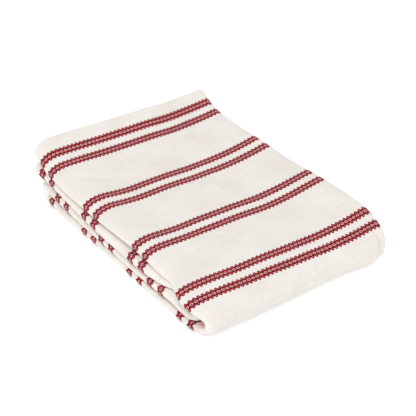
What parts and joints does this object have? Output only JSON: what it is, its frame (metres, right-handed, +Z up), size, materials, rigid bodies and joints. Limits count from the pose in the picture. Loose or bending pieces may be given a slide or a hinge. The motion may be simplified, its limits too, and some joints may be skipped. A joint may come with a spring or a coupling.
{
  "type": "folded tablecloth",
  "caption": "Cream woven tablecloth with pairs of dark red patterned stripes, folded into a soft layered packet that lies flat on a table.",
  "frame": {"origin": "on the table under the middle of the packet's bounding box", "axes": "+X from the side with the stacked folds to the side with the single spine, +Y from the turned front to the loose ends at the back, +Z up from the table"},
  "size_m": [0.3214, 0.4448, 0.0934],
  "materials": {
    "cotton": "matt plain weave in cream cotton with dark red stripes woven in"
  },
  "bodies": {
    "root": {"cloth": "cotton"}
  },
  "joints": []
}
